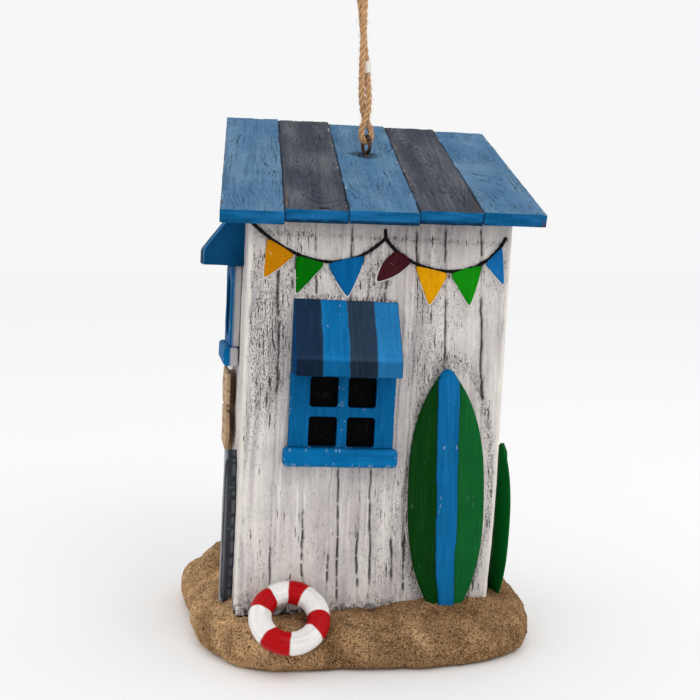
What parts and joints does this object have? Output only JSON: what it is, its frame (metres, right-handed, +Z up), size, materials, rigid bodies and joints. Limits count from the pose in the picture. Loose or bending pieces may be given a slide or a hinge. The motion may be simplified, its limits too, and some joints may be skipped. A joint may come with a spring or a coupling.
{
  "type": "hanging birdhouse",
  "caption": "Hanging birdhouse shaped like a leaning beach hut on a sand base, with a sloped board roof, a round entrance hole, a rope loop and a clean-out stopper.",
  "frame": {"origin": "middle of the box around the birdhouse without its rope, on the underside of the sand base", "axes": "+Z up; -Y is out of the window wall; -X is out of the entrance wall; +X is the way the hut leans"},
  "size_m": [0.1607, 0.1634, 0.3099],
  "materials": {
    "sand": "cast resin with a grainy sand finish",
    "whitewash": "cast resin, whitewashed over a dark wash in the grain",
    "roof_blue": "cast resin, satin blue over carved grain",
    "roof_navy": "cast resin, satin charcoal navy over carved grain",
    "blue_trim": "cast resin, brushed blue enamel",
    "awning_paint": "cast resin, blue and navy stripes",
    "black_panes": "gloss black",
    "green_board": "gloss green enamel with a blue stripe",
    "grey_board": "gloss black and grey enamel",
    "red_white_ring": "red and white enamel",
    "tan_wood": "painted like bare wood",
    "black_string": "black paint",
    "yellow_flag": "yellow enamel",
    "green_flag": "green enamel",
    "blue_flag": "blue enamel",
    "maroon_flag": "dark red enamel",
    "dark_wire": "dark bronze wire",
    "jute": "twisted jute fibre",
    "white_sleeve": "white plastic sleeve",
    "black_rubber": "moulded rubber"
  },
  "bodies": {
    "birdhouse": {"sand_base": "sand", "wall_window": "whitewash", "wall_back": "whitewash", "wall_entrance": "whitewash", "wall_right": "whitewash", "roof_board_1": "roof_blue", "roof_board_2": "roof_navy", "roof_board_3": "roof_blue", "roof_board_4": "roof_navy", "roof_board_5": "roof_blue", "window_frame": "blue_trim", "window_panes": "black_panes", "window_sill": "blue_trim", "window_awning": "awning_paint", "entrance_awning": "awning_paint", "entrance_frame": "blue_trim", "entrance_sill": "blue_trim", "sign_post": "tan_wood", "sign_board_upper": "tan_wood", "sign_board_lower": "tan_wood", "surfboard_window_side": "green_board", "surfboard_right_side": "green_board", "surfboard_entrance_side": "grey_board", "life_ring": "red_white_ring", "bunting_string_left": "black_string", "bunting_string_right": "black_string", "bunting_flag_1": "yellow_flag", "bunting_flag_2": "green_flag", "bunting_flag_3": "blue_flag", "bunting_flag_4": "maroon_flag", "bunting_flag_5": "yellow_flag", "bunting_flag_6": "green_flag", "bunting_flag_7": "blue_flag", "hanger_eye": "dark_wire"},
    "hanging_loop": {"hanging_rope": "jute", "rope_sleeve": "white_sleeve"},
    "stopper": {"cleanout_stopper": "black_rubber"}
  },
  "joints": [
    {"name": "loop_swing", "type": "hinge", "parent": "birdhouse", "child": "hanging_loop", "pos_m": [0.00945, 0.01344, 0.22742], "axis": [0.3746, -0.9272, 0], "range_deg": [-55, 55]},
    {"name": "cleanout_pull", "type": "slide", "parent": "birdhouse", "child": "stopper", "axis": [0, 0, -1], "range_m": [0, 0.022]}
  ]
}
